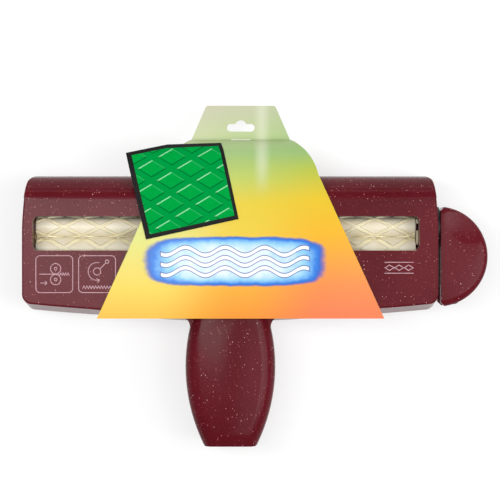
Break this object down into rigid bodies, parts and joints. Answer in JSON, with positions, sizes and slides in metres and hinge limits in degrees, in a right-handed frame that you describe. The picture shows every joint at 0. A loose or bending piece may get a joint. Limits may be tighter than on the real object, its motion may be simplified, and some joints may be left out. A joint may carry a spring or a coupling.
{
  "type": "paper crimper",
  "caption": "Hand-held paper crimper: a crank and meshing gears turn two diamond-lattice rollers behind a slot in a wide casing with a handle, under a folded hang card.",
  "frame": {"origin": "under the middle of the whole object's box, on the surface that it lies on with its front face up", "axes": "+X along the rollers towards the crank, +Y away from the handle towards the hang card's tab, +Z out of the front face"},
  "size_m": [0.274, 0.2018, 0.0435],
  "materials": {
    "body_plastic": "glossy maroon with fine glitter",
    "cream_plastic": "satin cream plastic",
    "roller_plastic": "satin cream plastic",
    "arm_plastic": "satin black plastic",
    "nylon": "plain white nylon",
    "steel": "zinc-plated steel",
    "black_steel": "blackened steel",
    "card": "printed glossy card",
    "black_card": "black card",
    "sample_paper": "crimped green paper"
  },
  "bodies": {
    "casing": {"front_shell": "body_plastic", "back_shell": "body_plastic", "shell_screws": "steel", "left_bearing_bracket": "cream_plastic", "right_bearing_bracket": "cream_plastic", "bracket_screws": "steel", "thrust_washers": "nylon"},
    "drive": {"upper_roller": "roller_plastic", "drive_shaft": "black_steel", "drive_gear": "nylon", "crank_arm": "arm_plastic", "crank_washer": "steel", "crank_screw": "steel"},
    "idler": {"lower_roller": "roller_plastic", "idler_shaft": "black_steel", "idler_gear": "nylon"},
    "grip": {"crank_grip": "body_plastic", "crank_hinge_pin": "steel"},
    "card": {"hang_card": "card", "sample_mount": "black_card", "sample_sheet": "sample_paper"}
  },
  "joints": [
    {"name": "crank_turn", "type": "hinge", "parent": "casing", "child": "drive", "pos_m": [0, 0.02865, 0.022], "axis": [1, 0, 0], "continuous": true},
    {"name": "idler_spin", "type": "hinge", "parent": "casing", "child": "idler", "pos_m": [0, 0.01605, 0.022], "axis": [1, 0, 0], "continuous": true},
    {"name": "grip_fold", "type": "hinge", "parent": "drive", "child": "grip", "pos_m": [0.117, -0.01315, 0.022], "axis": [0, 0, -1], "range_deg": [0, 90]},
    {"name": "card_lift", "type": "slide", "parent": "casing", "child": "card", "axis": [0, 1, 0], "range_m": [0, 0.1]}
  ],
  "couplings": [
    {"joint": "idler_spin", "follows": "crank_turn", "ratio": -1}
  ]
}
